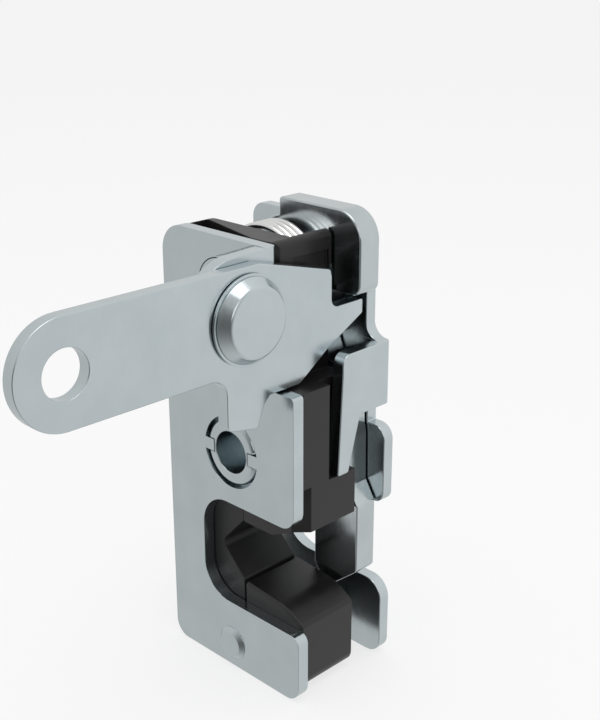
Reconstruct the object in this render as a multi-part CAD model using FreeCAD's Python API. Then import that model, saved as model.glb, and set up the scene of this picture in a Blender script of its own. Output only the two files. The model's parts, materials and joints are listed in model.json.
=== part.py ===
"""Rotary latch: two riveted steel plates with a moulded housing between them,
a rotor that holds the striker, a trigger that blocks the rotor, and a release
lever at the side. Lengths are millimetres. The origin is on the lower pivot
axis at the front plate's front face; +X points out of the mouth, +Y runs from
the front plate to the rear plate, +Z is up."""
import FreeCAD, Part
import math
import os

# Stack of layers from front to rear
front_plate_t = 2.0
rear_plate_t = 2.0
case_depth = 20.1
blade_t = 4.0
blade_rear_gap = 0.2
housing_blade_gap = 0.8
washer_blade_gap = 0.3

# Clearances
touch_gap = 0.1
body_gap = 0.3
shaft_gap = 0.05

# Case outline shared by both plates
case_left = -14.0
case_bottom = -36.7
jaw_right = 14.05
foot_corner_r = 2.6
mouth_corner_r = 5.25

# Front plate
front_top = 32.35
front_right = 13.05
front_top_corner_r = 4.2
front_mouth_left = -6.5
front_mouth_floor = -25.55
front_mouth_roof = -8.4
front_lip_r = 1.5
front_upper_lip_r = 2.6
shoulder_z = 12.1
shoulder_corner_r = 0.6
relief_r = 0.65

# Ear folded forward from the front plate
ear_outer_x = 8.0
ear_bottom = 14.0
ear_end_r = 8.0
bend_outer_r = 0.8
bend_inner_r = 0.4

# Rear plate
rear_top = 32.5
rear_top_corner_r = 2.4
rear_mouth_left = -6.84
rear_mouth_floor = -23.7
rear_mouth_roof = -10.0
rear_lip_r = 3.2
rear_upper_lip_r = 1.8
rear_tab_top = 2.6
rear_tab_corner_r = 2.3
rear_notch_x = 10.6
rear_neck_x = 10.0
rear_neck_top_r = 3.0
rear_neck_blend_r = 2.4

# Side tab folded forward from the rear plate, with its tongue
side_tab_outer_x = 13.15
side_tab_bottom = 5.9
side_tab_top = 15.8
side_tab_depth = 10.24
side_tab_corner_r = 1.6
tongue_root_width = 3.8
tongue_tip_width = 2.2
tongue_root_z = 12.7
tongue_lean = 0.8
tongue_corner_r = 0.4

# Pivots and the case rivet, as X and Z
lower_pivot = (0.0, 0.0)
upper_pivot = (-1.79, 24.84)
case_rivet = (-0.45, -32.7)

# Bushings that carry the rotor and the trigger
bushing_bore_r = 3.25
bushing_end_r = 4.2
bushing_roll_r = 5.2
bushing_roll_fillet = 0.9
bushing_body_r = 4.9
bushing_shoulder_r = 6.1
bushing_shoulder_t = 2.0
key_width = 1.9
key_reach_r = 3.65
keyed_hole_r = 5.6

# Rivet through the lower corner of the case
rivet_tenon_r = 2.0
rivet_spacer_r = 2.9
rivet_head_r = 2.85
rivet_disc_r = 2.05
rivet_head_t = 0.63

# Housing moulding
housing_left_inset = 0.4
housing_bottom_inset = 0.3
housing_right = 12.65
housing_corner_r = 2.2
jaw_block_left = 0.35
jaw_block_top = -22.25
jaw_block_ridge_x = 9.0
jaw_block_ridge_z = -22.95
jaw_block_ridge_r = 7.0
jaw_block_front_z = -25.0
jaw_block_front_r = 1.0
recess_left = -11.1
recess_floor = -27.6
recess_roof = -8.6
foot_underside = -11.9
foot_bend_x = 6.4
foot_rise_x = 10.9
foot_rise_z = -9.9
foot_top = -2.7
foot_step = 0.2
column_top = 12.0
column_depth = 5.7
cheek_x = 10.4
upper_right = 7.15
upper_corner_r = 4.2
band_depth = 4.6
cheek_wall = 1.3
cheek_end_step = 0.5
cheek_edge_r = 1.1
cheek_front_chamfer = 1.4
cheek_panel_front = 5.9
cheek_panel_rear_rib = 0.5
cheek_panel_bottom = 24.0
cheek_panel_top = 29.6
cheek_panel_depth = 0.5
dip_left = -10.7
dip_right = 3.9
dip_rear_wall = 0.9
dip_floor = 29.0
window_floor = 27.2
edge_chamfer = 0.4
foot_chamfer = 2.0
housing_hole_gap = 0.1

# Bumper
bumper_front_inset = 0.1
bumper_rear_inset = 0.2
bumper_mouth_top = -11.8
bumper_mouth_bottom = -21.9
bumper_notch_x = -4.75
bumper_notch_z = -17.1
bumper_notch_r = 1.3
bumper_edge_r = 0.5

# Torsion springs
spring_wire_r = 0.5
spring_pitch = 1.1
trigger_spring_mean_r = 7.3
trigger_spring_turns = 4.0
rotor_spring_mean_r = 6.3
rotor_spring_turns = 4.0
spring_pocket_gap = 0.4

# Washer behind the rotor spring
washer_r = 8.6

# Rotor
rotor_body_r = 10.7
rotor_slot_left = -4.2
rotor_slot_right = 3.77
rotor_slot_root = -11.5
tine_right = 12.63
tine_tip_x = 7.7
tine_tip_z = -24.6
tine_heel_x = 5.0
tine_heel_z = -24.0
tine_throat_z = -22.1
tine_chamfer_z = -20.6
tine_stop_z = -9.5
tine_neck_x = 10.8
tine_neck_z = -6.5
lip_left = -10.5
lip_tip_z = -21.0
lip_chamfer_z = -17.5
blade_corner_r = 1.0
catch_r = 13.2
catch_tip_angle = 57.0
catch_face_angle = 68.0
catch_ramp_angle = 30.2
catch_ramp_r = 11.9
catch_root_angle = 14.0

# Trigger
trigger_hub_r = 8.15
trigger_arm_left = -3.8
trigger_heel_x = -5.6
trigger_heel_z = 32.0
trigger_arm_right = 12.4
trigger_arm_top = 35.4
trigger_arm_bottom = 23.3
trigger_arm_big_r = 4.5
trigger_arm_small_r = 0.6
trigger_arm_corner_r = 1.6
trigger_leg_x = 4.97
trigger_leg_top_z = 20.3
trigger_leg_bend_z = 15.6
trigger_nose_outer = (6.0, 13.2)
trigger_nose_inner = (4.17, 11.98)
trigger_heel = (-0.2, 16.85)
trigger_nose_r = 0.25

# Release lever, a plate beside the ear
lever_t = 2.0
lever_ear_gap = 0.15
lever_pivot = (-5.47, 24.1)
lever_arm_end = (-33.9, 24.1)
lever_arm_r = 7.15
lever_hole_r = 3.25
lever_head_z = 31.25
lever_head_y = -3.2
lever_slope_y = 10.3
lever_slope_z = 27.8
lever_head_rear_y = 10.6
lever_slope_corner_z = 26.7
beak_top = 22.1
beak_bottom = 20.0
beak_tip_inset = 1.05
beak_fillet_r = 1.3
beak_corner_r = 0.3
lever_knee_y = 9.9
lever_knee_z = 16.2
lever_sole_rear_y = 4.2
lever_sole_z = 12.4
lever_sole_front_y = -1.5
lever_tab_rear_y = -2.7
lever_tab_step_z = 11.2
lever_tab_low_y = -3.9
lever_tab_low_z = 8.1
lever_tab_front_z = 9.2
lever_tab_front_y = -9.3
lever_arm_fillet_r = 2.6
lever_corner_r = 0.5

# Rivet and washer of the release lever
lever_shank_r = 3.0
lever_rivet_base_r = 6.1
lever_rivet_face_r = 4.85
lever_rivet_t = 1.7
lever_tail_r = 3.5
lever_tail_t = 0.8
lever_washer_r = 6.3
lever_washer_t = 0.4

# Places that follow from the sizes above
front_plate_back = front_plate_t
rear_plate_front = case_depth - rear_plate_t
beak_tip_y = rear_plate_front - beak_tip_inset
blade_back = rear_plate_front - blade_rear_gap
blade_front = blade_back - blade_t
housing_back = blade_front - housing_blade_gap
washer_back = blade_front - washer_blade_gap
housing_left = case_left + housing_left_inset
housing_bottom = case_bottom + housing_bottom_inset
housing_top = front_top
ear_inner_x = ear_outer_x - front_plate_t
lever_inner_x = ear_outer_x + lever_ear_gap
lever_outer_x = lever_inner_x + lever_t
blade_bore_r = bushing_body_r + shaft_gap
bushing_slot_width = key_width + 2 * touch_gap
bushing_slot_r = key_reach_r - touch_gap
foot_back = housing_back + foot_step
cheek_back = housing_back + cheek_end_step
cheek_left = upper_right - cheek_wall
column_back = front_plate_back + column_depth
side_tab_inner_x = side_tab_outer_x - rear_plate_t
side_tab_front = case_depth - side_tab_depth


def point_xz(y):
    """Places an outline's two numbers as X and Z at depth y."""
    return lambda a, b: FreeCAD.Vector(a, y, b)


def point_xy(z):
    """Places an outline's two numbers as X and Y at height z."""
    return lambda a, b: FreeCAD.Vector(a, b, z)


def point_yz(x):
    """Places an outline's two numbers as Y and Z at side x."""
    return lambda a, b: FreeCAD.Vector(x, a, b)


def polar(centre, radius, degrees):
    """The point at a radius and angle from a centre."""
    angle = math.radians(degrees)
    return (centre[0] + radius * math.cos(angle), centre[1] + radius * math.sin(angle))


def round_corner(before, corner, after, radius):
    """Start, middle and end of the arc that rounds a corner."""
    back = (before - corner).normalize()
    ahead = (after - corner).normalize()
    half = back.getAngle(ahead) / 2
    setback = radius / math.tan(half)
    inward = (back + ahead).normalize()
    middle = corner + inward * (radius / math.sin(half) - radius)
    return corner + back * setback, middle, corner + ahead * setback


def outline_face(corners, place):
    """A flat face through corners given as (a, b, radius)."""
    points = [place(a, b) for a, b, radius in corners]
    edges = []
    count = len(corners)
    ends = []
    for i in range(count):
        radius = corners[i][2]
        if radius > 0:
            ends.append(round_corner(points[i - 1], points[i], points[(i + 1) % count], radius))
        else:
            ends.append((points[i], None, points[i]))
    for i in range(count):
        start, middle, end = ends[i]
        if middle is not None:
            edges.append(Part.Arc(start, middle, end).toShape())
        edges.append(Part.makeLine(end, ends[(i + 1) % count][0]))
    return Part.Face(Part.Wire(edges))


def plate_xz(corners, front, back):
    """A plate with its outline in XZ, from depth front to depth back."""
    return outline_face(corners, point_xz(front)).extrude(FreeCAD.Vector(0, back - front, 0))


def plate_yz(corners, inner, outer):
    """A plate with its outline in YZ, from side inner to side outer."""
    return outline_face(corners, point_yz(inner)).extrude(FreeCAD.Vector(outer - inner, 0, 0))


def rod_y(centre, radius, front, back):
    """A round rod along Y."""
    base = FreeCAD.Vector(centre[0], front, centre[1])
    return Part.makeCylinder(radius, back - front, base, FreeCAD.Vector(0, 1, 0))


def rod_x(centre, radius, inner, outer):
    """A round rod along X, centred at (Y, Z)."""
    base = FreeCAD.Vector(inner, centre[0], centre[1])
    return Part.makeCylinder(radius, outer - inner, base, FreeCAD.Vector(1, 0, 0))


def block(x_range, y_range, z_range):
    """A box from its three ranges."""
    size = [high - low for low, high in (x_range, y_range, z_range)]
    return Part.makeBox(*size, FreeCAD.Vector(x_range[0], y_range[0], z_range[0]))


def upright_edges(shape, x, y):
    """The straight edges along Z that stand at (x, y)."""
    found = []
    for edge in shape.Edges:
        ends = [vertex.Point for vertex in edge.Vertexes]
        if all(abs(p.x - x) < 1e-4 and abs(p.y - y) < 1e-4 for p in ends):
            found.append(edge)
    return found


def front_rim(shape, radius):
    """The round edge of that radius in the front plate's front face."""
    found = []
    for edge in shape.Edges:
        round_edge = isinstance(edge.Curve, Part.Circle) and abs(edge.Curve.Radius - radius) < 1e-4
        if round_edge and abs(edge.Curve.Center.y) < 1e-4:
            found.append(edge)
    return found


def keyed_hole(pivot):
    """Cutter for a bushing's hole in the front plate, with two key fingers left."""
    hole = rod_y(pivot, keyed_hole_r, -front_plate_t, 2 * front_plate_t)
    for side in (-1, 1):
        near = pivot[0] + side * key_reach_r
        far = pivot[0] + side * (keyed_hole_r + key_width)
        finger = block(sorted((near, far)), (-front_plate_t, 2 * front_plate_t),
                       (pivot[1] - key_width / 2, pivot[1] + key_width / 2))
        hole = hole.cut(finger)
    return hole


def front_sheet():
    """Flat part of the front plate."""
    corners = [
        (case_left, case_bottom, foot_corner_r),
        (jaw_right, case_bottom, foot_corner_r),
        (jaw_right, front_mouth_floor, front_lip_r),
        (front_mouth_left, front_mouth_floor, mouth_corner_r),
        (front_mouth_left, front_mouth_roof, mouth_corner_r),
        (front_right, front_mouth_roof, front_upper_lip_r),
        (front_right, shoulder_z, shoulder_corner_r),
        (ear_outer_x, shoulder_z, 0),
        (ear_outer_x, front_top, 0),
        (case_left, front_top, front_top_corner_r),
    ]
    return plate_xz(corners, 0, front_plate_back)


def ear():
    """Round-ended ear that stands forward of the front plate."""
    y, z = lever_pivot
    root_low = FreeCAD.Vector(ear_inner_x, front_plate_back, ear_bottom)
    root_high = FreeCAD.Vector(ear_inner_x, front_plate_back, front_top)
    end_high = FreeCAD.Vector(ear_inner_x, y, z + ear_end_r)
    end_front = FreeCAD.Vector(ear_inner_x, y - ear_end_r, z)
    end_low = FreeCAD.Vector(ear_inner_x, y, z - ear_end_r)
    edges = [
        Part.makeLine(root_low, root_high),
        Part.makeLine(root_high, end_high),
        Part.Arc(end_high, end_front, end_low).toShape(),
        Part.makeLine(end_low, root_low),
    ]
    face = Part.Face(Part.Wire(edges))
    return face.extrude(FreeCAD.Vector(front_plate_t, 0, 0))


def front_plate():
    """Front plate with its ear, mouth, bushing holes and rivet holes."""
    plate = front_sheet().fuse(ear()).removeSplitter()
    plate = plate.makeFillet(bend_outer_r, upright_edges(plate, ear_outer_x, front_plate_back))
    plate = plate.makeFillet(bend_inner_r, upright_edges(plate, ear_inner_x, 0))
    relief = rod_y((ear_outer_x, shoulder_z + relief_r), relief_r, -front_plate_t, 2 * front_plate_t)
    plate = plate.cut(relief)
    plate = plate.cut(keyed_hole(lower_pivot))
    plate = plate.cut(rod_y(upper_pivot, bushing_end_r + touch_gap, -front_plate_t, 2 * front_plate_t))
    plate = plate.cut(rod_y(case_rivet, rivet_tenon_r, -front_plate_t, 2 * front_plate_t))
    return plate.cut(rod_x(lever_pivot, lever_shank_r, ear_inner_x - 1, ear_outer_x + 1))


def rear_sheet():
    """Flat part of the rear plate."""
    corners = [
        (case_left, case_bottom, foot_corner_r),
        (jaw_right, case_bottom, foot_corner_r),
        (jaw_right, rear_mouth_floor, rear_lip_r),
        (rear_mouth_left, rear_mouth_floor, mouth_corner_r),
        (rear_mouth_left, rear_mouth_roof, mouth_corner_r),
        (jaw_right, rear_mouth_roof, rear_upper_lip_r),
        (jaw_right, rear_tab_top, rear_tab_corner_r),
        (rear_notch_x, rear_tab_top, 0),
        (rear_notch_x, side_tab_bottom, 0),
        (side_tab_outer_x, side_tab_bottom, 0),
        (side_tab_outer_x, side_tab_top, 0),
        (rear_neck_x, side_tab_top, rear_neck_blend_r),
        (rear_neck_x, rear_top, rear_neck_top_r),
        (case_left, rear_top, rear_top_corner_r),
    ]
    return plate_xz(corners, rear_plate_front, case_depth)


def side_tab():
    """Tab folded forward from the rear plate, ending in a tongue that points down."""
    tip_z = foot_top + touch_gap
    root_front = side_tab_front
    tip_front = root_front - tongue_lean
    corners = [
        (case_depth, side_tab_bottom, 0),
        (case_depth, side_tab_top, 0),
        (root_front, side_tab_top, side_tab_corner_r),
        (root_front, tongue_root_z, 0),
        (tip_front, tip_z, tongue_corner_r),
        (tip_front + tongue_tip_width, tip_z, tongue_corner_r),
        (root_front + tongue_root_width, side_tab_bottom, tongue_corner_r),
    ]
    return plate_yz(corners, side_tab_inner_x, side_tab_outer_x)


def rear_plate():
    """Rear plate with its mouth, side tab and round holes."""
    plate = rear_sheet().fuse(side_tab()).removeSplitter()
    plate = plate.makeFillet(bend_outer_r, upright_edges(plate, side_tab_outer_x, case_depth))
    for pivot in (lower_pivot, upper_pivot):
        plate = plate.cut(rod_y(pivot, bushing_end_r, 0, 2 * case_depth))
    return plate.cut(rod_y(case_rivet, rivet_tenon_r, 0, 2 * case_depth))


def bushing(pivot):
    """Hollow stepped bushing riveted into both plates."""
    shoulder_back = front_plate_back + bushing_shoulder_t
    body = rod_y(pivot, bushing_end_r, 0, case_depth)
    body = body.fuse(rod_y(pivot, bushing_shoulder_r, front_plate_back, shoulder_back))
    body = body.fuse(rod_y(pivot, bushing_body_r, front_plate_back, rear_plate_front))
    return body.cut(rod_y(pivot, bushing_bore_r, -case_depth, 2 * case_depth)).removeSplitter()


def rolled_bushing(pivot):
    """Bushing with a rolled front end, slotted for the front plate's key fingers."""
    roll = rod_y(pivot, bushing_roll_r, 0, front_plate_back)
    roll = roll.makeFillet(bushing_roll_fillet, front_rim(roll, bushing_roll_r))
    roll = roll.cut(rod_y(pivot, bushing_bore_r, 0, front_plate_back))
    body = bushing(pivot).fuse(roll)
    for side in (-1, 1):
        near = pivot[0] + side * bushing_slot_r
        far = pivot[0] + side * (bushing_shoulder_r + key_width)
        slot = block(sorted((near, far)), (-front_plate_t, front_plate_back),
                     (pivot[1] - bushing_slot_width / 2, pivot[1] + bushing_slot_width / 2))
        body = body.cut(slot)
    return body.removeSplitter()


def corner_rivet():
    """Shouldered rivet that spaces the plates at their foot."""
    body = rod_y(case_rivet, rivet_tenon_r, 0, case_depth)
    body = body.fuse(rod_y(case_rivet, rivet_spacer_r, front_plate_back, rear_plate_front))
    base = FreeCAD.Vector(case_rivet[0], 0, case_rivet[1])
    head = Part.makeCone(rivet_head_r, rivet_disc_r, rivet_head_t, base, FreeCAD.Vector(0, -1, 0))
    return body.fuse(head).removeSplitter()


def housing_body():
    """C-shaped block of the housing before its pockets are cut."""
    corners = [
        (housing_left, housing_bottom, housing_corner_r),
        (housing_right, housing_bottom, housing_corner_r),
        (housing_right, jaw_block_front_z, jaw_block_front_r),
        (jaw_block_ridge_x, jaw_block_ridge_z, jaw_block_ridge_r),
        (jaw_block_left, jaw_block_top, bumper_edge_r),
        (jaw_block_left, recess_floor, 0),
        (recess_left, recess_floor, 0),
        (recess_left, recess_roof, 0),
        (jaw_block_left, recess_roof, 0),
        (jaw_block_left, foot_underside, bumper_edge_r),
        (foot_bend_x, foot_underside, 0),
        (foot_rise_x, foot_rise_z, 0),
        (housing_right, foot_rise_z, 0),
        (housing_right, foot_top, 0),
        (cheek_x, foot_top, 0),
        (cheek_x, column_top, 0),
        (upper_right, column_top, 0),
        (upper_right, housing_top, cheek_edge_r),
        (housing_left, housing_top, upper_corner_r),
    ]
    return plate_xz(corners, front_plate_back, housing_back)


def spring_floor(turns):
    """Depth of a spring pocket's floor, from the spring's own length."""
    return housing_back - touch_gap - turns * spring_pitch - 2 * spring_wire_r - body_gap


def spring_pocket(pivot, mean_r, turns):
    """Cutter for a torsion spring's pocket."""
    radius = mean_r + spring_wire_r + spring_pocket_gap
    return rod_y(pivot, radius, spring_floor(turns), case_depth)


def cheek():
    """Rear end of the housing's right wall, which stands past the block's back."""
    corners = [
        (cheek_left, window_floor, 0),
        (upper_right, window_floor, 0),
        (upper_right, housing_top, cheek_edge_r),
        (cheek_left, housing_top, 0),
    ]
    return plate_xz(corners, housing_back, cheek_back)


def cheek_corner():
    """Cutter for the chamfer on the front corner of the right wall."""
    corners = [
        (upper_right - cheek_front_chamfer, front_plate_back, 0),
        (upper_right, front_plate_back, 0),
        (upper_right, front_plate_back + cheek_front_chamfer, 0),
    ]
    return outline_face(corners, point_xy(column_top)).extrude(FreeCAD.Vector(0, 0, housing_top - column_top))


def band_dip():
    """Cutter for the dip in the housing's top edge, which tapers away to the right."""
    corners = [
        (dip_left, front_plate_back, 0),
        (dip_right, front_plate_back, 0),
        (dip_left, front_plate_back + band_depth - dip_rear_wall, 0),
    ]
    return outline_face(corners, point_xy(dip_floor)).extrude(FreeCAD.Vector(0, 0, housing_top - dip_floor))


def housing_column():
    """Column of the housing behind the lever's stop."""
    column = block((upper_right, housing_right), (front_plate_back, column_back), (foot_top, column_top))
    corner = upright_edges(column, housing_right, front_plate_back)
    return column.makeChamfer(edge_chamfer, corner)


def housing():
    """Moulded housing between the plates."""
    body = housing_body()
    foot = block((jaw_block_left, housing_right), (housing_back, foot_back), (foot_rise_z, foot_top))
    body = body.fuse(foot).removeSplitter()
    corners = upright_edges(body, housing_right, front_plate_back)
    foot_corner = max(corners, key=lambda edge: edge.CenterOfMass.z)
    body = body.makeChamfer(foot_chamfer, [foot_corner])
    body = body.makeChamfer(edge_chamfer, upright_edges(body, housing_right, front_plate_back))
    window = block((housing_left - 1, cheek_left),
                   (front_plate_back + band_depth, case_depth), (window_floor, housing_top + 1))
    panel = block((upper_right - cheek_panel_depth, housing_right),
                  (cheek_panel_front, cheek_back - cheek_panel_rear_rib),
                  (cheek_panel_bottom, cheek_panel_top))
    body = body.cut(window).fuse([housing_column(), cheek()]).cut(panel)
    body = body.cut([band_dip(), cheek_corner()])
    body = body.cut(spring_pocket(lower_pivot, rotor_spring_mean_r, rotor_spring_turns))
    body = body.cut(spring_pocket(upper_pivot, trigger_spring_mean_r, trigger_spring_turns))
    for pivot in (lower_pivot, upper_pivot):
        shoulder_back = front_plate_back + bushing_shoulder_t + housing_hole_gap
        body = body.cut(rod_y(pivot, bushing_shoulder_r + housing_hole_gap, 0, shoulder_back))
        body = body.cut(rod_y(pivot, bushing_body_r + housing_hole_gap, 0, case_depth))
    body = body.cut(rod_y(case_rivet, rivet_spacer_r + housing_hole_gap, 0, case_depth))
    body = body.cut(rod_y(lower_pivot, washer_r + body_gap, housing_back, case_depth))
    return body.removeSplitter()


def bumper():
    """Soft block at the back of the mouth, with a notch for the striker."""
    left = recess_left + touch_gap
    right = jaw_block_left - touch_gap
    low = recess_floor + touch_gap
    high = recess_roof - touch_gap
    corners = [
        (left, low, bumper_edge_r),
        (right, low, bumper_edge_r),
        (right, bumper_mouth_bottom, bumper_edge_r),
        (bumper_notch_x, bumper_notch_z, bumper_notch_r),
        (right, bumper_mouth_top, bumper_edge_r),
        (right, high, bumper_edge_r),
        (left, high, bumper_edge_r),
    ]
    return plate_xz(corners, front_plate_back + bumper_front_inset, housing_back - bumper_rear_inset)


def torsion_spring(pivot, mean_r, turns):
    """Round wire wound about a pivot, from the pocket's floor towards the blade."""
    path = Part.makeHelix(spring_pitch, spring_pitch * turns, mean_r)
    start = FreeCAD.Vector(mean_r, 0, 0)
    along = FreeCAD.Vector(0, 1, 0)
    section = Part.Wire(Part.makeCircle(spring_wire_r, start, along))
    wire = Part.Wire(path.Edges).makePipeShell([section], True, True)
    wire.rotate(FreeCAD.Vector(0, 0, 0), FreeCAD.Vector(1, 0, 0), -90)
    wire.translate(FreeCAD.Vector(pivot[0], spring_floor(turns) + body_gap + spring_wire_r, pivot[1]))
    return wire


def rotor_washer():
    """Thin washer between the rotor spring and the rotor."""
    ring = rod_y(lower_pivot, washer_r, housing_back, washer_back)
    return ring.cut(rod_y(lower_pivot, bushing_body_r + shaft_gap, 0, case_depth))


def rotor_catch():
    """Tooth that meets the trigger's nose."""
    tip = polar(lower_pivot, catch_r, catch_tip_angle)
    face_root = polar(lower_pivot, rotor_body_r, catch_face_angle)
    ramp = polar(lower_pivot, catch_ramp_r, catch_ramp_angle)
    ramp_root = polar(lower_pivot, rotor_body_r, catch_root_angle)
    points = [lower_pivot, ramp_root, ramp, tip, face_root]
    return plate_xz([(x, z, 0) for x, z in points], blade_front, blade_back)


def rotor_jaw():
    """Slotted lower part of the rotor, with the tine and the inner lip."""
    slot_r = (rotor_slot_right - rotor_slot_left) / 2
    slot_centre = ((rotor_slot_right + rotor_slot_left) / 2, rotor_slot_root - slot_r)
    corners = [
        (rotor_body_r, lower_pivot[1], 0),
        (tine_neck_x, tine_neck_z, blade_corner_r),
        (tine_right, tine_stop_z, blade_corner_r),
        (tine_right, tine_chamfer_z, blade_corner_r),
        (tine_tip_x, tine_tip_z, blade_corner_r),
        (tine_heel_x, tine_heel_z, blade_corner_r),
        (rotor_slot_right, tine_throat_z, blade_corner_r),
        (rotor_slot_right, slot_centre[1], 0),
        (rotor_slot_left, slot_centre[1], 0),
        (rotor_slot_left, lip_tip_z, blade_corner_r),
        (lip_left, lip_chamfer_z, blade_corner_r),
        (-rotor_body_r, lower_pivot[1], 0),
    ]
    jaw = plate_xz(corners, blade_front, blade_back)
    return jaw.cut(rod_y(slot_centre, slot_r, 0, case_depth))


def rotor():
    """Rotor blade that turns on the lower bushing and holds the striker."""
    blade = rod_y(lower_pivot, rotor_body_r, blade_front, blade_back)
    blade = blade.fuse([rotor_jaw(), rotor_catch()])
    return blade.cut(rod_y(lower_pivot, blade_bore_r, 0, case_depth)).removeSplitter()


def trigger_arm():
    """Upper block of the trigger, which the release lever lifts."""
    corners = [
        (trigger_heel_x, upper_pivot[1], 0),
        (trigger_heel_x, trigger_heel_z, 0),
        (trigger_arm_left, trigger_heel_z + trigger_arm_small_r, trigger_arm_small_r),
        (trigger_arm_left, trigger_arm_top, trigger_arm_small_r),
        (trigger_arm_right, trigger_arm_top, trigger_arm_big_r),
        (trigger_arm_right, trigger_arm_bottom, trigger_arm_corner_r),
        (upper_pivot[0], trigger_arm_bottom, 0),
    ]
    return plate_xz(corners, blade_front, blade_back)


def trigger_leg():
    """Lower leg of the trigger, ending in the nose that blocks the rotor."""
    corners = [
        (upper_pivot[0], upper_pivot[1], 0),
        (trigger_leg_x, trigger_leg_top_z, 0),
        (trigger_leg_x, trigger_leg_bend_z, blade_corner_r),
        (*trigger_nose_outer, trigger_nose_r),
        (*trigger_nose_inner, trigger_nose_r),
        (*trigger_heel, 0),
    ]
    return plate_xz(corners, blade_front, blade_back)


def trigger():
    """Trigger blade that turns on the upper bushing."""
    blade = rod_y(upper_pivot, trigger_hub_r, blade_front, blade_back)
    blade = blade.fuse([trigger_arm(), trigger_leg()])
    return blade.cut(rod_y(upper_pivot, blade_bore_r, 0, case_depth)).removeSplitter()


def lever_arm():
    """Straight arm of the release lever with its round end."""
    low = lever_arm_end[1] - lever_arm_r
    high = lever_arm_end[1] + lever_arm_r
    corners = [
        (lever_arm_end[0], low, 0),
        (lever_pivot[0], low, 0),
        (lever_pivot[0], high, 0),
        (lever_arm_end[0], high, 0),
    ]
    arm = plate_yz(corners, lever_inner_x, lever_outer_x)
    return arm.fuse(rod_x(lever_arm_end, lever_arm_r, lever_inner_x, lever_outer_x))


def lever_head():
    """Wide head of the release lever, with the beak and the stop tab."""
    arm_low = lever_arm_end[1] - lever_arm_r
    fillet_end = lever_tab_front_y - lever_arm_fillet_r
    corners = [
        (fillet_end - lever_arm_fillet_r, arm_low, 0),
        (lever_tab_front_y, arm_low, lever_arm_fillet_r),
        (lever_tab_front_y, lever_tab_front_z, blade_corner_r),
        (lever_tab_low_y, lever_tab_low_z, lever_corner_r),
        (lever_tab_rear_y, lever_tab_step_z, lever_corner_r),
        (lever_sole_front_y, lever_sole_z, lever_corner_r),
        (lever_sole_rear_y, lever_sole_z, blade_corner_r),
        (lever_knee_y, lever_knee_z, blade_corner_r),
        (beak_tip_y, beak_bottom, beak_corner_r),
        (beak_tip_y, beak_top, beak_corner_r),
        (lever_head_rear_y, beak_top, beak_fillet_r),
        (lever_head_rear_y, lever_slope_corner_z, lever_corner_r),
        (lever_slope_y, lever_slope_z, lever_corner_r),
        (lever_head_y, lever_head_z, 0),
        (fillet_end - lever_arm_fillet_r, lever_head_z, 0),
    ]
    return plate_yz(corners, lever_inner_x, lever_outer_x)


def release_lever():
    """Release lever with its cable hole and pivot hole."""
    lever = lever_arm().fuse(lever_head())
    lever = lever.cut(rod_x(lever_arm_end, lever_hole_r, 0, 2 * lever_outer_x))
    hole = rod_x(lever_pivot, lever_shank_r + shaft_gap, 0, 2 * lever_outer_x)
    return lever.cut(hole).removeSplitter()


def lever_washer():
    """Flat washer under the lever rivet's head."""
    inner = lever_outer_x + lever_ear_gap
    ring = rod_x(lever_pivot, lever_washer_r, inner, inner + lever_washer_t)
    return ring.cut(rod_x(lever_pivot, lever_shank_r, 0, 2 * lever_outer_x))


def lever_rivet():
    """Rivet that holds the release lever against the ear."""
    head_x = lever_outer_x + lever_ear_gap + lever_washer_t
    tail_x = ear_inner_x - lever_tail_t
    base = FreeCAD.Vector(head_x, lever_pivot[0], lever_pivot[1])
    head = Part.makeCone(lever_rivet_base_r, lever_rivet_face_r, lever_rivet_t, base, FreeCAD.Vector(1, 0, 0))
    shank = rod_x(lever_pivot, lever_shank_r, tail_x, head_x)
    tail = rod_x(lever_pivot, lever_tail_r, tail_x, ear_inner_x)
    return head.fuse([shank, tail]).removeSplitter()


def build():
    """All pieces of the latch by node name."""
    return {
        "front_plate": front_plate(),
        "rear_plate": rear_plate(),
        "housing": housing(),
        "bumper": bumper(),
        "lower_bushing": rolled_bushing(lower_pivot),
        "upper_bushing": bushing(upper_pivot),
        "corner_rivet": corner_rivet(),
        "rotor_spring": torsion_spring(lower_pivot, rotor_spring_mean_r, rotor_spring_turns),
        "trigger_spring": torsion_spring(upper_pivot, trigger_spring_mean_r, trigger_spring_turns),
        "rotor_washer": rotor_washer(),
        "rotor": rotor(),
        "trigger": trigger(),
        "release_lever": release_lever(),
        "lever_washer": lever_washer(),
        "lever_rivet": lever_rivet(),
    }


os.makedirs("parts", exist_ok=True)
for node, shape in build().items():
    shape.exportStep("parts/" + node + ".step")
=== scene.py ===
"""Looks of the rotary latch: soft-edged steel sheet and mouldings on a pale floor."""

import json
import math

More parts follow.
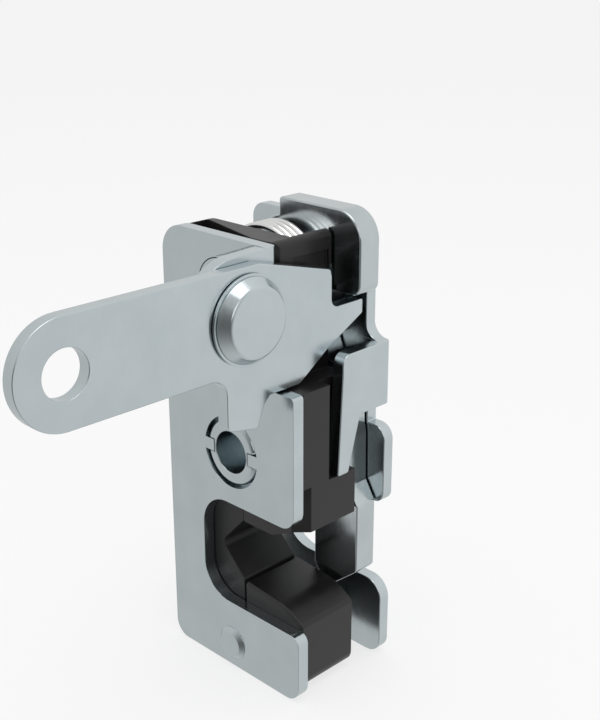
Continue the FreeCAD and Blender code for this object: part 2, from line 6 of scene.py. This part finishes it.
import bmesh
import bpy
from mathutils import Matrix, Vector

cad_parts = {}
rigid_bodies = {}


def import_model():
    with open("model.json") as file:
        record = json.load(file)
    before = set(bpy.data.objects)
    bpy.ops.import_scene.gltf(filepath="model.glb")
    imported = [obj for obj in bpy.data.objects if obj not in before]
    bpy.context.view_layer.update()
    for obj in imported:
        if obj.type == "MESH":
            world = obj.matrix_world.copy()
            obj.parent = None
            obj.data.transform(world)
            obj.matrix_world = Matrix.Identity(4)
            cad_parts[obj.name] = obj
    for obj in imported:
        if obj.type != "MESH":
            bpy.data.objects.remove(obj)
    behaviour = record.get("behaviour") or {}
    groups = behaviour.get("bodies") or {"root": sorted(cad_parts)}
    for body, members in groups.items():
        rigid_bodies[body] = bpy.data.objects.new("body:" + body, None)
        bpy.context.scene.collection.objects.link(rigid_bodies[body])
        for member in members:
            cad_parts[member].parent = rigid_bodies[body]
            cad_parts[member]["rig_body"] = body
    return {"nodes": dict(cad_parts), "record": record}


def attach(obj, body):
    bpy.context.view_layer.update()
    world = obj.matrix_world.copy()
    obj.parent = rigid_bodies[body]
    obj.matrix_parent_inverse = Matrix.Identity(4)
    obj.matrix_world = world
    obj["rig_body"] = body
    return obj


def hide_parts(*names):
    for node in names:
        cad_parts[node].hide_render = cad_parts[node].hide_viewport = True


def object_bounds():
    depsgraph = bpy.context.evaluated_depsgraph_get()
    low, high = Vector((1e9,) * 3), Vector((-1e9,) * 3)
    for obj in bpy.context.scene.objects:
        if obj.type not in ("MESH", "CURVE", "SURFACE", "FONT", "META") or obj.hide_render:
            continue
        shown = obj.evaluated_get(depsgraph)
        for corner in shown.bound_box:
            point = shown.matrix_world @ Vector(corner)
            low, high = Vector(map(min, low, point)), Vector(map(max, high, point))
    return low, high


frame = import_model()
cad_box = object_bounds()

MM = 0.001

# Camera at the photo's angle
CAMERA_PLACE = (0.11891, -0.10526, 0.07271)
CAMERA_FORWARD = (-0.6615, 0.6659, -0.3450)
CAMERA_LENS = 71.19
CAMERA_SENSOR = 36.0
CAMERA_CLIP = 0.01

# Floor just under the case, with some light of its own so that it stays pale
FLOOR_SIZE = 8.0
FLOOR_DROP = 0.2 * MM
FLOOR_COLOUR = (0.86, 0.86, 0.86, 1)
FLOOR_ROUGHNESS = 0.9
FLOOR_GLOW = 0.72

# Studio brightness: brighter towards the mouth's side, darker behind the camera
STUDIO_LEVEL = 0.97
STUDIO_LEAN = (0.09, 0.06, 0.10)
STUDIO_DARK_SIDE = (0.707, -0.707, 0)
STUDIO_DARK_DEPTH = 0.85
BACKDROP_LEVEL = 1.14

# Soft lamps above the latch and beside it
LAMP_SIZE = 0.35
TOP_LAMP_PLACE = (0.05, -0.05, 0.5)
TOP_LAMP_POWER = 0.7
SIDE_LAMP_PLACE = (0.45, -0.25, 0.25)
SIDE_LAMP_POWER = 0.4

# Steel finishes: colour from dark to light, range of roughness, strength of the grain
ZINC_STEEL = {
    "dark": (0.54, 0.60, 0.62),
    "light": (0.58, 0.64, 0.66),
    "rough": (0.18, 0.25),
    "relief": 0.015,
}
BLADE_STEEL = {
    "dark": (0.52, 0.565, 0.58),
    "light": (0.57, 0.62, 0.63),
    "rough": (0.14, 0.20),
    "relief": 0.015,
}
SPRING_STEEL = {
    "dark": (0.72, 0.72, 0.71),
    "light": (0.82, 0.82, 0.81),
    "rough": (0.14, 0.22),
    "relief": 0.08,
}

# Moulded finishes, in the same terms
BLACK_PLASTIC = {
    "dark": (0.009, 0.008, 0.008),
    "light": (0.014, 0.0125, 0.012),
    "rough": (0.34, 0.42),
    "relief": 0.15,
}
BLACK_RUBBER = {
    "dark": (0.008, 0.008, 0.008),
    "light": (0.012, 0.012, 0.012),
    "rough": (0.42, 0.52),
    "relief": 0.25,
}

# Patterns: waves per millimetre, fineness, and height of the relief
STEEL_CLOUD_SCALE = 0.16
STEEL_CLOUD_DETAIL = 4.0
STEEL_GRAIN_SCALE = 2.2
STEEL_GRAIN_STRETCH = (1, 1, 0.25)
STEEL_GRAIN_HEIGHT = 0.01 * MM
MOULDED_CLOUD_SCALE = 0.25
MOULDED_GRAIN_SCALE = 5.0
MOULDED_GRAIN_DETAIL = 4.0
MOULDED_GRAIN_HEIGHT = 0.02 * MM
PLAIN_DETAIL = 3.0
NO_STRETCH = (1, 1, 1)

# Part of the noise's range that is spread over a finish
NOISE_LOW = 0.3
NOISE_HIGH = 0.7

# Edge rounding of each piece, by node
EDGE_WIDTHS = {
    "front_plate": 0.065 * MM,
    "rear_plate": 0.16 * MM,
    "release_lever": 0.14 * MM,
    "rotor": 0.22 * MM,
    "trigger": 0.26 * MM,
    "housing": 0.09 * MM,
    "bumper": 0.12 * MM,
    "lower_bushing": 0.14 * MM,
    "upper_bushing": 0.14 * MM,
    "corner_rivet": 0.14 * MM,
    "lever_rivet": 0.30 * MM,
    "lever_washer": 0.08 * MM,
}
EDGE_SEGMENTS = 3
SHARP_ANGLE = math.radians(28.0)
FLAT_ANGLE = math.radians(1.0)
FLAT_FACE_WEIGHT = 100
WELD = 0.002 * MM


def node_tree(material):
    """An emptied node tree with a Principled shader joined to the output."""
    material.use_nodes = True
    tree = material.node_tree
    tree.nodes.clear()
    output = tree.nodes.new("ShaderNodeOutputMaterial")
    shader = tree.nodes.new("ShaderNodeBsdfPrincipled")
    tree.links.new(shader.outputs["BSDF"], output.inputs["Surface"])
    return tree, shader


def socket(sockets, identifier):
    """The socket with this identifier, where several share one name."""
    return next(item for item in sockets if item.identifier == identifier)


def maths(tree, operation, *terms):
    """The result of a sum on sockets and plain numbers."""
    node = tree.nodes.new("ShaderNodeMath")
    node.operation = operation
    for slot, term in zip(node.inputs, terms):
        if isinstance(term, bpy.types.NodeSocket):
            tree.links.new(term, slot)
        else:
            slot.default_value = term
    return node.outputs["Value"]


def noise(tree, scale, stretch=NO_STRETCH, detail=PLAIN_DETAIL):
    """Noise in the object's own space, with a scale per millimetre."""
    place = tree.nodes.new("ShaderNodeTexCoord")
    mapping = tree.nodes.new("ShaderNodeMapping")
    mapping.inputs["Scale"].default_value = [scale / MM * share for share in stretch]
    texture = tree.nodes.new("ShaderNodeTexNoise")
    texture.inputs["Scale"].default_value = 1.0
    texture.inputs["Detail"].default_value = detail
    tree.links.new(place.outputs["Object"], mapping.inputs["Vector"])
    tree.links.new(mapping.outputs["Vector"], texture.inputs["Vector"])
    return texture.outputs["Fac"]


def spread(tree, value, low, high):
    """Maps a noise value to the range low to high."""
    node = tree.nodes.new("ShaderNodeMapRange")
    node.inputs["From Min"].default_value = NOISE_LOW
    node.inputs["From Max"].default_value = NOISE_HIGH
    node.inputs["To Min"].default_value = low
    node.inputs["To Max"].default_value = high
    tree.links.new(value, node.inputs["Value"])
    return node.outputs["Result"]


def blended_colour(tree, value, dark, light):
    """A colour between dark and light by a noise value."""
    node = tree.nodes.new("ShaderNodeMix")
    node.data_type = "RGBA"
    socket(node.inputs, "A_Color").default_value = (*dark, 1)
    socket(node.inputs, "B_Color").default_value = (*light, 1)
    tree.links.new(spread(tree, value, 0, 1), socket(node.inputs, "Factor_Float"))
    return socket(node.outputs, "Result_Color")


def bump(tree, shader, value, strength, distance):
    """Small relief from a noise value."""
    node = tree.nodes.new("ShaderNodeBump")
    node.inputs["Strength"].default_value = strength
    node.inputs["Distance"].default_value = distance
    tree.links.new(value, node.inputs["Height"])
    tree.links.new(node.outputs["Normal"], shader.inputs["Normal"])


def steel(name, finish):
    """Plated steel with cloudy colour, uneven gloss and a faint grain."""
    material = bpy.data.materials.new(name)
    tree, shader = node_tree(material)
    shader.inputs["Metallic"].default_value = 1.0
    cloud = noise(tree, STEEL_CLOUD_SCALE, detail=STEEL_CLOUD_DETAIL)
    grain = noise(tree, STEEL_GRAIN_SCALE, stretch=STEEL_GRAIN_STRETCH)
    colour = blended_colour(tree, cloud, finish["dark"], finish["light"])
    tree.links.new(colour, shader.inputs["Base Color"])
    tree.links.new(spread(tree, grain, *finish["rough"]), shader.inputs["Roughness"])
    bump(tree, shader, grain, finish["relief"], STEEL_GRAIN_HEIGHT)
    return material


def moulded(name, finish):
    """Black moulded plastic or rubber with a fine matt texture."""
    material = bpy.data.materials.new(name)
    tree, shader = node_tree(material)
    cloud = noise(tree, MOULDED_CLOUD_SCALE)
    grain = noise(tree, MOULDED_GRAIN_SCALE, detail=MOULDED_GRAIN_DETAIL)
    colour = blended_colour(tree, cloud, finish["dark"], finish["light"])
    tree.links.new(colour, shader.inputs["Base Color"])
    tree.links.new(spread(tree, cloud, *finish["rough"]), shader.inputs["Roughness"])
    bump(tree, shader, grain, finish["relief"], MOULDED_GRAIN_HEIGHT)
    return material


def make_materials():
    """Every material by the record's slot name."""
    return {
        "zinc_steel": steel("zinc_steel", ZINC_STEEL),
        "blade_steel": steel("blade_steel", BLADE_STEEL),
        "spring_steel": steel("spring_steel", SPRING_STEEL),
        "black_plastic": moulded("black_plastic", BLACK_PLASTIC),
        "black_rubber": moulded("black_rubber", BLACK_RUBBER),
    }


def welded_mesh(source, name):
    """A solid's mesh as whole flat faces with smooth shading."""
    work = bmesh.new()
    work.from_mesh(source.data)
    bmesh.ops.remove_doubles(work, verts=work.verts, dist=WELD)
    bmesh.ops.dissolve_limit(work, angle_limit=FLAT_ANGLE, verts=work.verts, edges=work.edges)
    for face in work.faces:
        face.smooth = True
    mesh = bpy.data.meshes.new(name)
    work.to_mesh(mesh)
    work.free()
    if "custom_normal" in mesh.attributes:
        mesh.attributes.remove(mesh.attributes["custom_normal"])
    return mesh


def round_edges(piece, width):
    """Rounds the sharp edges over and keeps the flat faces flat to the light."""
    edges = piece.modifiers.new("edges", "BEVEL")
    edges.width = width
    edges.segments = EDGE_SEGMENTS
    edges.limit_method = "ANGLE"
    edges.angle_limit = SHARP_ANGLE
    edges.use_clamp_overlap = False
    edges.harden_normals = True
    faces = piece.modifiers.new("faces", "WEIGHTED_NORMAL")
    faces.weight = FLAT_FACE_WEIGHT
    faces.keep_sharp = True


def soft_edged(node, width):
    """Stands for a CAD solid, with its sharp edges rounded over as on the real piece."""
    source = frame["nodes"][node]
    name = node + "_finished"
    piece = bpy.data.objects.new(name, welded_mesh(source, name))
    bpy.context.scene.collection.objects.link(piece)
    round_edges(piece, width)
    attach(piece, source["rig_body"])
    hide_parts(node)
    return piece


def dress(materials):
    """Gives every node its finish, on a soft-edged piece or on the node itself."""
    for entry in frame["record"]["subparts"]:
        node = entry["node"]
        slot = entry["material_slot"]
        if node in EDGE_WIDTHS:
            piece = soft_edged(node, EDGE_WIDTHS[node])
            piece.data.materials.append(materials[slot])
        else:
            mesh = frame["nodes"][node].data
            mesh.materials.clear()
            mesh.materials.append(materials[slot])


def floor_material():
    """Matt pale grey, with a glow that only the camera sees."""
    material = bpy.data.materials.new("floor")
    tree, shader = node_tree(material)
    shader.inputs["Base Color"].default_value = FLOOR_COLOUR
    shader.inputs["Roughness"].default_value = FLOOR_ROUGHNESS
    shader.inputs["Specular IOR Level"].default_value = 0.0
    glow = tree.nodes.new("ShaderNodeEmission")
    path = tree.nodes.new("ShaderNodeLightPath")
    mix = tree.nodes.new("ShaderNodeMixShader")
    share = maths(tree, "MULTIPLY", path.outputs["Is Camera Ray"], FLOOR_GLOW)
    tree.links.new(share, mix.inputs["Fac"])
    tree.links.new(shader.outputs["BSDF"], socket(mix.inputs, "Shader"))
    tree.links.new(glow.outputs["Emission"], socket(mix.inputs, "Shader_001"))
    output = tree.get_output_node("ALL")
    tree.links.new(mix.outputs["Shader"], output.inputs["Surface"])
    return material


def floor():
    """Pale floor that keeps the latch's soft shadow."""
    low = cad_box[0][2] - FLOOR_DROP
    bpy.ops.mesh.primitive_plane_add(size=FLOOR_SIZE, location=(0, 0, low))
    plane = bpy.context.active_object
    plane.name = "floor"
    plane.visible_glossy = False
    plane.data.materials.append(floor_material())


def share_along(tree, vector, direction):
    """How far a vector points in a direction."""
    node = tree.nodes.new("ShaderNodeVectorMath")
    node.operation = "DOT_PRODUCT"
    node.inputs[1].default_value = direction
    tree.links.new(vector, node.inputs[0])
    return node.outputs["Value"]


def studio_strength(tree):
    """Brightness by direction, and one plain level for what the camera sees."""
    direction = tree.nodes.new("ShaderNodeTexCoord").outputs["Generated"]
    level = maths(tree, "ADD", share_along(tree, direction, STUDIO_LEAN), STUDIO_LEVEL)
    behind = maths(tree, "MAXIMUM", share_along(tree, direction, STUDIO_DARK_SIDE), 0)
    square = maths(tree, "MULTIPLY", behind, behind)
    studio = maths(tree, "MULTIPLY_ADD", square, -STUDIO_DARK_DEPTH, level)
    path = tree.nodes.new("ShaderNodeLightPath")
    seen = tree.nodes.new("ShaderNodeMix")
    socket(seen.inputs, "B_Float").default_value = BACKDROP_LEVEL
    tree.links.new(path.outputs["Is Camera Ray"], socket(seen.inputs, "Factor_Float"))
    tree.links.new(studio, socket(seen.inputs, "A_Float"))
    return socket(seen.outputs, "Result_Float")


def studio_world():
    """A plain studio round the latch."""
    world = bpy.data.worlds.new("studio")
    bpy.context.scene.world = world
    world.use_nodes = True
    tree = world.node_tree
    tree.nodes.clear()
    output = tree.nodes.new("ShaderNodeOutputWorld")
    background = tree.nodes.new("ShaderNodeBackground")
    tree.links.new(studio_strength(tree), background.inputs["Strength"])
    tree.links.new(background.outputs["Background"], output.inputs["Surface"])


def area_light(name, place, power):
    """A soft square light aimed at the latch."""
    lamp = bpy.data.lights.new(name, "AREA")
    lamp.size = LAMP_SIZE
    lamp.energy = power
    light = bpy.data.objects.new(name, lamp)
    light.location = place
    light.rotation_euler = (-Vector(place)).to_track_quat("-Z", "Y").to_euler()
    bpy.context.scene.collection.objects.link(light)


def camera():
    """The photo's viewpoint."""
    lens = bpy.data.cameras.new("camera")
    lens.lens = CAMERA_LENS
    lens.sensor_width = CAMERA_SENSOR
    lens.sensor_fit = "HORIZONTAL"
    lens.clip_start = CAMERA_CLIP
    view = bpy.data.objects.new("camera", lens)
    view.location = CAMERA_PLACE
    view.rotation_euler = Vector(CAMERA_FORWARD).to_track_quat("-Z", "Y").to_euler()
    bpy.context.scene.collection.objects.link(view)
    bpy.context.scene.camera = view


camera()
dress(make_materials())
floor()
studio_world()
area_light("top_light", TOP_LAMP_PLACE, TOP_LAMP_POWER)
area_light("side_light", SIDE_LAMP_PLACE, SIDE_LAMP_POWER)
bpy.context.scene.view_settings.view_transform = "Standard"
